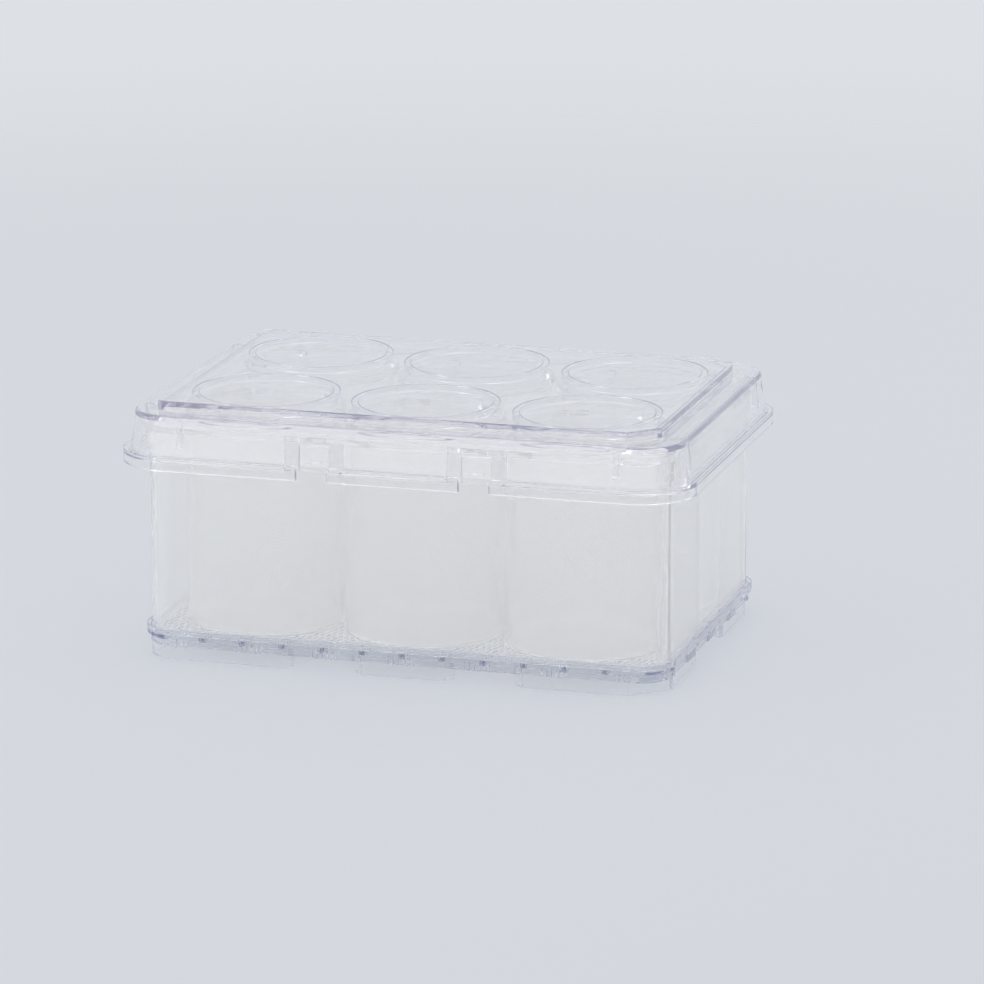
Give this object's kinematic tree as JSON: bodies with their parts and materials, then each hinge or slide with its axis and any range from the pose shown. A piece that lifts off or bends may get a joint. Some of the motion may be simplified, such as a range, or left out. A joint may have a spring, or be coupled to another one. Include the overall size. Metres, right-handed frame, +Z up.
{
  "type": "well plate",
  "caption": "Deep clear culture plate with hanging round wells, breathable silicone bottoms, a support net, a footed base tray and a loose stacking lid.",
  "frame": {"origin": "middle of the footprint, on the surface that the feet stand on", "axes": "+X along the row of three wells, +Y from the front row to the rear row, +Z up out of the wells"},
  "size_m": [0.1374, 0.0952, 0.0611],
  "materials": {
    "clear_lid": "polished clear polystyrene",
    "clear_body": "polished clear polystyrene",
    "clear_base": "polished clear polystyrene",
    "net": "natural translucent plastic netting",
    "silicone": "thin translucent silicone sheet"
  },
  "bodies": {
    "root": {"lid": "clear_lid", "plate_body": "clear_body", "base_tray": "clear_base", "support_net": "net", "membrane_1": "silicone", "membrane_2": "silicone", "membrane_3": "silicone", "membrane_4": "silicone", "membrane_5": "silicone", "membrane_6": "silicone"}
  },
  "joints": []
}
